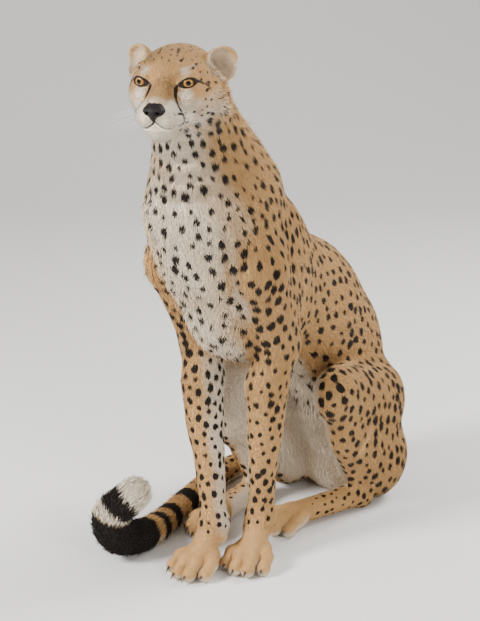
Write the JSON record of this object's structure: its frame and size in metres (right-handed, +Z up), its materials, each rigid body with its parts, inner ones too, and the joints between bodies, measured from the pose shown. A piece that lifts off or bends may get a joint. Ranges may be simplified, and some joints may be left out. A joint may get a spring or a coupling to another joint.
{
  "type": "sitting cheetah",
  "caption": "Life-size adult cheetah sitting upright on its haunches, forelegs straight, tail round its right side with the tip curled up, spotted tawny coat.",
  "frame": {"origin": "middle of the animal's bounding box, on the floor it sits on", "axes": "+Z up, -Y the way the body faces, +X the animal's left side; metres"},
  "size_m": [0.3982, 0.8266, 0.9936],
  "materials": {
    "coat": "short tawny fur with solid black spots, pale below",
    "tail_tip": "long pale fur at the tail's end",
    "eye": "wet and glossy, amber with a round black pupil",
    "nose_leather": "bare, moist and finely pebbled",
    "claw": "dark smooth horn"
  },
  "bodies": {
    "root": {"head": "coat", "neck": "coat", "chest": "coat", "loin": "coat", "upper_foreleg_left": "coat", "forearm_left": "coat", "forepaw_left": "coat", "thigh_left": "coat", "shank_left": "coat", "metatarsus_left": "coat", "hindpaw_left": "coat", "upper_foreleg_right": "coat", "forearm_right": "coat", "forepaw_right": "coat", "thigh_right": "coat", "shank_right": "coat", "metatarsus_right": "coat", "hindpaw_right": "coat", "tail_1": "coat", "tail_2": "coat", "tail_3": "coat", "tail_4": "tail_tip", "ear_left": "coat", "ear_right": "coat", "eye_left": "eye", "eye_right": "eye", "nose": "nose_leather", "claw_forepaw_left_1": "claw", "claw_forepaw_left_2": "claw", "claw_forepaw_left_3": "claw", "claw_forepaw_left_4": "claw", "claw_forepaw_right_1": "claw", "claw_forepaw_right_2": "claw", "claw_forepaw_right_3": "claw", "claw_forepaw_right_4": "claw", "claw_hindpaw_left_1": "claw", "claw_hindpaw_left_2": "claw", "claw_hindpaw_left_3": "claw", "claw_hindpaw_left_4": "claw", "claw_hindpaw_right_1": "claw", "claw_hindpaw_right_2": "claw", "claw_hindpaw_right_3": "claw", "claw_hindpaw_right_4": "claw"}
  },
  "joints": []
}
